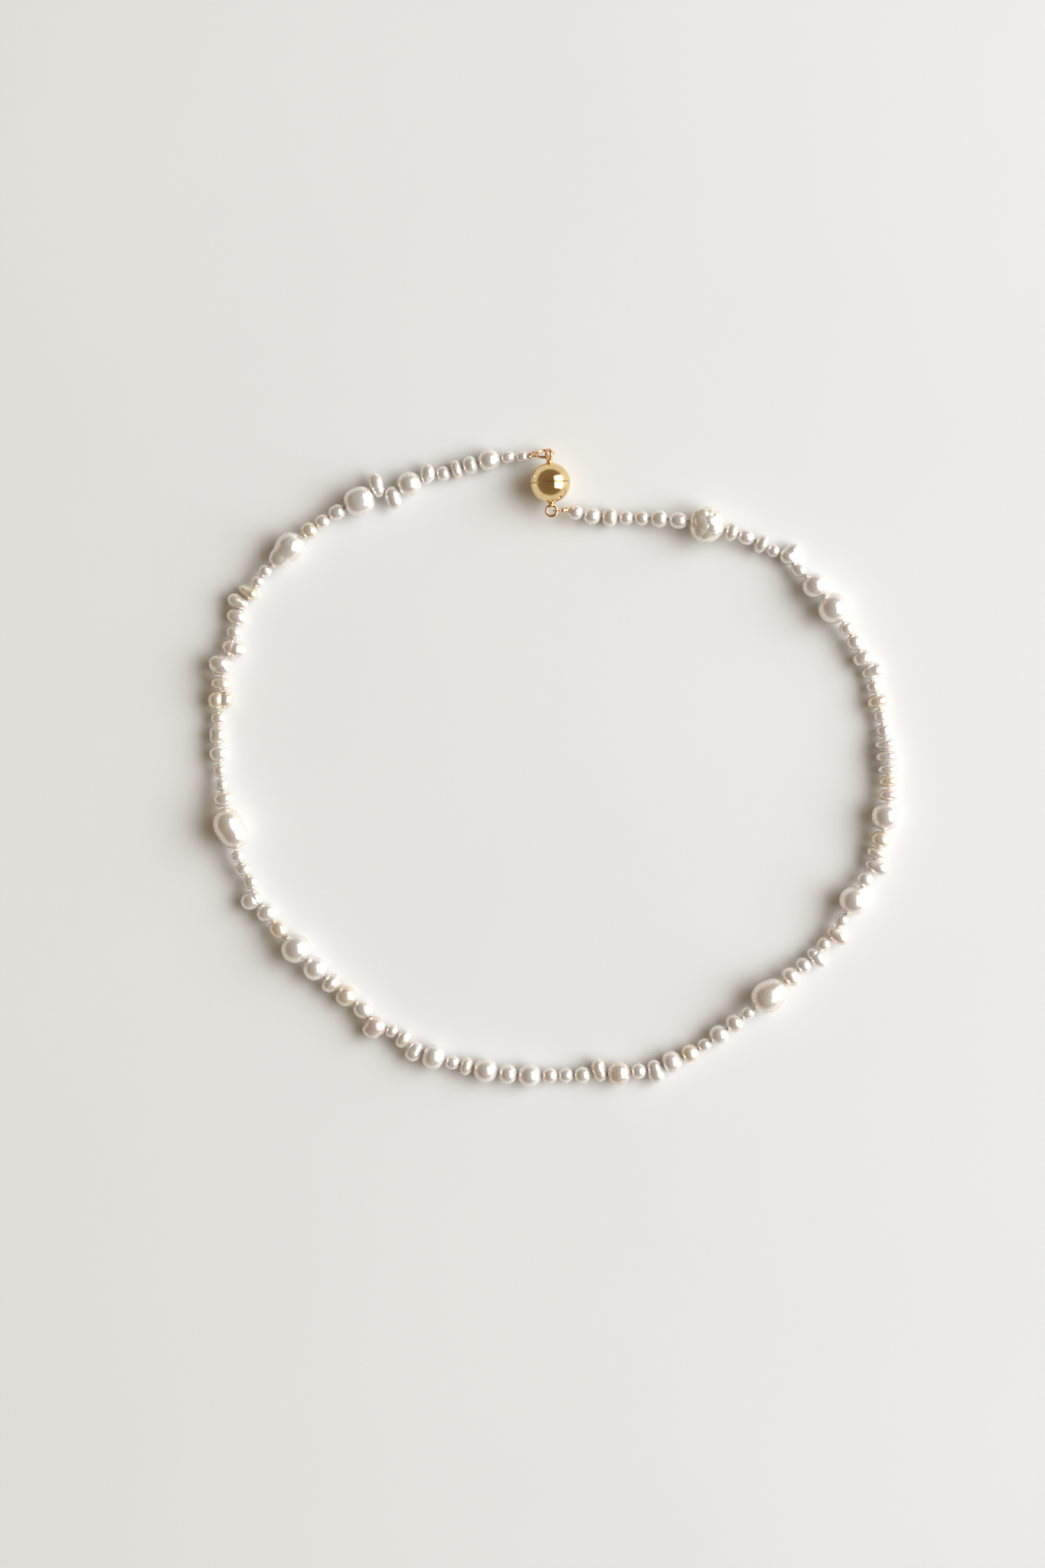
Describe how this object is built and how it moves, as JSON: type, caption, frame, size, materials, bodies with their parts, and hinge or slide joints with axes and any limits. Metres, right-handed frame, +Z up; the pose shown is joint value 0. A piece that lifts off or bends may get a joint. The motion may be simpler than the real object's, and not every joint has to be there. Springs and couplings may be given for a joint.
{
  "type": "pearl necklace",
  "caption": "Choker necklace of mixed round, button, drop and baroque freshwater pearls on one thread, closed by a polished magnetic ball clasp.",
  "frame": {"origin": "middle of the closed necklace's bounding box, on the surface that it lies on", "axes": "+Z up from the surface; +Y from the front of the loop towards the clasp; +X across the loop, to the right when it is seen from above with the clasp at the far side"},
  "size_m": [0.1369, 0.1263, 0.008],
  "materials": {
    "white_nacre": "pearly",
    "ivory_nacre": "pearly",
    "cream_nacre": "pearly",
    "peach_nacre": "pearly",
    "rose_nacre": "pearly",
    "polished_gold": "polished",
    "magnet_steel": "nickel plated",
    "thread": "twisted silk"
  },
  "bodies": {
    "front": {"stringing_thread": "thread", "pearls_front": "white_nacre", "round_pearl_5": "white_nacre"},
    "right_01": {"pearls_right_01": "white_nacre", "ridged_pearl": "peach_nacre"},
    "left_01": {"round_pearl_6": "white_nacre", "pearls_left_01": "white_nacre", "button_pearl": "white_nacre"},
    "right_02": {"pearls_right_02": "white_nacre"},
    "left_02": {"pearls_left_02": "white_nacre"},
    "right_03": {"pearls_right_03": "white_nacre", "potato_pearl": "ivory_nacre"},
    "left_03": {"pearls_left_03": "white_nacre", "round_pearl_7": "white_nacre", "round_pearl_8": "white_nacre"},
    "right_04": {"pearls_right_04": "white_nacre", "round_pearl_4": "white_nacre"},
    "left_04": {"pearls_left_04": "white_nacre"},
    "right_05": {"pearls_right_05": "white_nacre", "round_pearl_3": "white_nacre"},
    "left_05": {"pear_drop_pearl": "peach_nacre", "pearls_left_05": "white_nacre"},
    "right_06": {"pearls_right_06": "white_nacre"},
    "left_06": {"pearls_left_06": "white_nacre", "twin_pearl": "cream_nacre"},
    "right_07": {"pearls_right_07": "white_nacre"},
    "left_07": {"crinkled_pearl": "ivory_nacre", "pearls_left_07": "white_nacre"},
    "right_08": {"two_lobed_pearl": "white_nacre", "pearls_right_08": "white_nacre", "round_pearl_1": "white_nacre", "round_pearl_2": "white_nacre"},
    "left_08": {"pearls_left_08": "white_nacre", "long_drop_pearl": "white_nacre"},
    "right_09": {"crinkled_coin_pearl": "ivory_nacre", "pearls_right_09": "white_nacre"},
    "left_09": {"pearls_left_09": "white_nacre", "barrel_pearl": "white_nacre", "crosswise_pearl_pair": "white_nacre"},
    "right_10": {"pearls_right_10": "white_nacre"},
    "left_10": {"round_pearl_9": "white_nacre", "pearls_left_10": "white_nacre"},
    "right_11": {"pearls_right_11": "white_nacre", "right_crimp": "polished_gold", "right_wire_loop": "polished_gold"},
    "left_11": {"pearls_left_11": "white_nacre", "round_pearl_10": "white_nacre", "left_crimp": "polished_gold", "left_wire_loop": "polished_gold"},
    "jump_ring": {"jump_ring": "polished_gold"},
    "clasp_upper_half": {"clasp_upper_shell": "polished_gold", "clasp_upper_magnet": "magnet_steel", "clasp_upper_eye": "polished_gold"},
    "clasp_lower_half": {"clasp_lower_shell": "polished_gold", "clasp_lower_magnet": "magnet_steel", "clasp_lower_eye": "polished_gold"}
  },
  "joints": [
    {"name": "right_lift_01", "type": "hinge", "parent": "front", "child": "right_01", "pos_m": [0.0073, -0.06114, 0.00191], "axis": [0.0234, -0.8657, 0.5], "range_deg": [0, 12], "deforming": ["stringing_thread"]},
    {"name": "right_turn_02", "type": "hinge", "parent": "right_01", "child": "right_02", "pos_m": [0.02517, -0.05775, 0.00213], "axis": [0, 0, 1], "range_deg": [0, 10], "deforming": ["stringing_thread"]},
    {"name": "right_lift_03", "type": "hinge", "parent": "right_02", "child": "right_03", "pos_m": [0.0394, -0.04789, 0.00318], "axis": [0.5513, -0.6679, 0.5], "range_deg": [0, 12], "deforming": ["stringing_thread"]},
    {"name": "right_turn_04", "type": "hinge", "parent": "right_03", "child": "right_04", "pos_m": [0.05426, -0.03405, 0.00212], "axis": [0, 0, 1], "range_deg": [0, 10], "deforming": ["stringing_thread"]},
    {"name": "right_lift_05", "type": "hinge", "parent": "right_04", "child": "right_05", "pos_m": [0.0622, -0.02089, 0.00245], "axis": [0.789, -0.357, 0.5], "range_deg": [0, 12], "deforming": ["stringing_thread"]},
    {"name": "right_turn_06", "type": "hinge", "parent": "right_05", "child": "right_06", "pos_m": [0.06609, -0.00441, 0.00246], "axis": [0, 0, 1], "range_deg": [0, 10], "deforming": ["stringing_thread"]},
    {"name": "right_lift_07", "type": "hinge", "parent": "right_06", "child": "right_07", "pos_m": [0.06361, 0.01432, 0.00208], "axis": [0.834, 0.2332, 0.5], "range_deg": [0, 12], "deforming": ["stringing_thread"]},
    {"name": "right_turn_08", "type": "hinge", "parent": "right_07", "child": "right_08", "pos_m": [0.05697, 0.02854, 0.00308], "axis": [0, 0, 1], "range_deg": [0, 10], "deforming": ["stringing_thread"]},
    {"name": "right_lift_09", "type": "hinge", "parent": "right_08", "child": "right_09", "pos_m": [0.04455, 0.04181, 0.00177], "axis": [0.4933, 0.7118, 0.5], "range_deg": [0, 12], "deforming": ["stringing_thread"]},
    {"name": "right_turn_10", "type": "hinge", "parent": "right_09", "child": "right_10", "pos_m": [0.02647, 0.04826, 0.00338], "axis": [0, 0, 1], "range_deg": [0, 10], "deforming": ["stringing_thread"]},
    {"name": "right_lift_11", "type": "hinge", "parent": "right_10", "child": "right_11", "pos_m": [0.01261, 0.04917, 0.00188], "axis": [0.0214, 0.8658, 0.5], "range_deg": [0, 12], "deforming": ["stringing_thread"]},
    {"name": "left_lift_01", "type": "hinge", "parent": "front", "child": "left_01", "pos_m": [-0.01122, -0.06076, 0.00238], "axis": [0.1383, 0.8549, 0.5], "range_deg": [0, 12], "deforming": ["stringing_thread"]},
    {"name": "left_turn_02", "type": "hinge", "parent": "left_01", "child": "left_02", "pos_m": [-0.02869, -0.05493, 0.00206], "axis": [0, 0, 1], "range_deg": [0, 15], "deforming": ["stringing_thread"]},
    {"name": "left_lift_03", "type": "hinge", "parent": "left_02", "child": "left_03", "pos_m": [-0.04295, -0.0442, 0.00208], "axis": [0.5624, 0.6586, 0.5], "range_deg": [0, 12], "deforming": ["stringing_thread"]},
    {"name": "left_turn_04", "type": "hinge", "parent": "left_03", "child": "left_04", "pos_m": [-0.05598, -0.03069, 0.00235], "axis": [0, 0, 1], "range_deg": [0, 15], "deforming": ["stringing_thread"]},
    {"name": "left_lift_05", "type": "hinge", "parent": "left_04", "child": "left_05", "pos_m": [-0.06313, -0.01671, 0.00323], "axis": [0.8381, 0.2182, 0.5], "range_deg": [0, 12], "deforming": ["stringing_thread"]},
    {"name": "left_turn_06", "type": "hinge", "parent": "left_05", "child": "left_06", "pos_m": [-0.06642, 0.00056, 0.00201], "axis": [0, 0, 1], "range_deg": [0, 15], "deforming": ["stringing_thread"]},
    {"name": "left_lift_07", "type": "hinge", "parent": "left_06", "child": "left_07", "pos_m": [-0.06581, 0.01776, 0.00263], "axis": [0.8524, -0.1529, 0.5], "range_deg": [0, 12], "deforming": ["stringing_thread"]},
    {"name": "left_turn_08", "type": "hinge", "parent": "left_07", "child": "left_08", "pos_m": [-0.05951, 0.03538, 0.0021], "axis": [0, 0, 1], "range_deg": [0, 15], "deforming": ["stringing_thread"]},
    {"name": "left_lift_09", "type": "hinge", "parent": "left_08", "child": "left_09", "pos_m": [-0.05002, 0.04549, 0.00283], "axis": [0.5641, -0.6571, 0.5], "range_deg": [0, 12], "deforming": ["stringing_thread"]},
    {"name": "left_turn_10", "type": "hinge", "parent": "left_09", "child": "left_10", "pos_m": [-0.03126, 0.05503, 0.00243], "axis": [0, 0, 1], "range_deg": [0, 15], "deforming": ["stringing_thread"]},
    {"name": "left_lift_11", "type": "hinge", "parent": "left_10", "child": "left_11", "pos_m": [-0.02062, 0.05836, 0.00193], "axis": [0.2599, -0.8261, 0.5], "range_deg": [0, 12], "deforming": ["stringing_thread"]},
    {"name": "clasp_lower_spin", "type": "hinge", "parent": "right_11", "child": "clasp_lower_half", "pos_m": [-0.0009, 0.0559, 0.004], "axis": [-0.0523, 0.9986, 0], "range_deg": [-10, 10]},
    {"name": "clasp_upper_spin", "type": "hinge", "parent": "left_11", "child": "clasp_upper_half", "pos_m": [-0.0009, 0.0559, 0.004], "axis": [-0.0523, 0.9986, 0], "range_deg": [-15, 15]},
    {"name": "jump_ring_swing", "type": "hinge", "parent": "left_11", "child": "jump_ring", "pos_m": [-0.00376, 0.06166, 0.0027], "axis": [0.8767, -0.1814, 0.4455], "range_deg": [-20, 20]}
  ]
}
